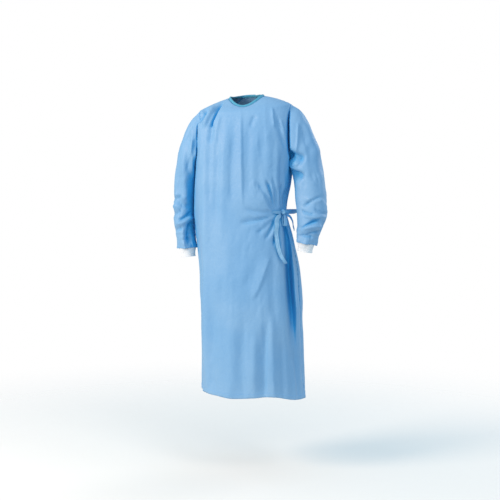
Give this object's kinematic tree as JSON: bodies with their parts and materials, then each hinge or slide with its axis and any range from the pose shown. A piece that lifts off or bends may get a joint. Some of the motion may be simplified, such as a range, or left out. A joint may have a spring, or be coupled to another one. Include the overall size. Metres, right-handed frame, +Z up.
{
  "type": "surgical gown",
  "caption": "Long-sleeved nonwoven surgical gown in its worn, hollow form, wrapped at the back, tied at the left hip, with knit cuffs and a bound round neck.",
  "frame": {"origin": "middle of the neck opening, level with the shoulder line beside the neck, where the wearer's shoulders carry the gown", "axes": "+Z up along the body, -Y out of the front, +X to the wearer's left"},
  "size_m": [0.6366, 0.3062, 1.2268],
  "materials": {
    "gown_cloth": "soft nonwoven with a faint sheen",
    "binding_cloth": "narrow folded binding",
    "cuff_knit": "fine rib knit",
    "tie_cloth": "flat folded nonwoven tie"
  },
  "bodies": {
    "root": {"gown_front": "gown_cloth", "gown_back_left": "gown_cloth", "gown_back_right": "gown_cloth", "sleeve_left": "gown_cloth", "sleeve_right": "gown_cloth", "cuff_left": "cuff_knit", "cuff_right": "cuff_knit", "neck_binding": "binding_cloth", "belt_front_tie": "tie_cloth", "belt_back_tie": "tie_cloth", "belt_knot": "tie_cloth", "belt_loop": "tie_cloth", "belt_end_long": "tie_cloth", "belt_end_short": "tie_cloth"}
  },
  "joints": []
}
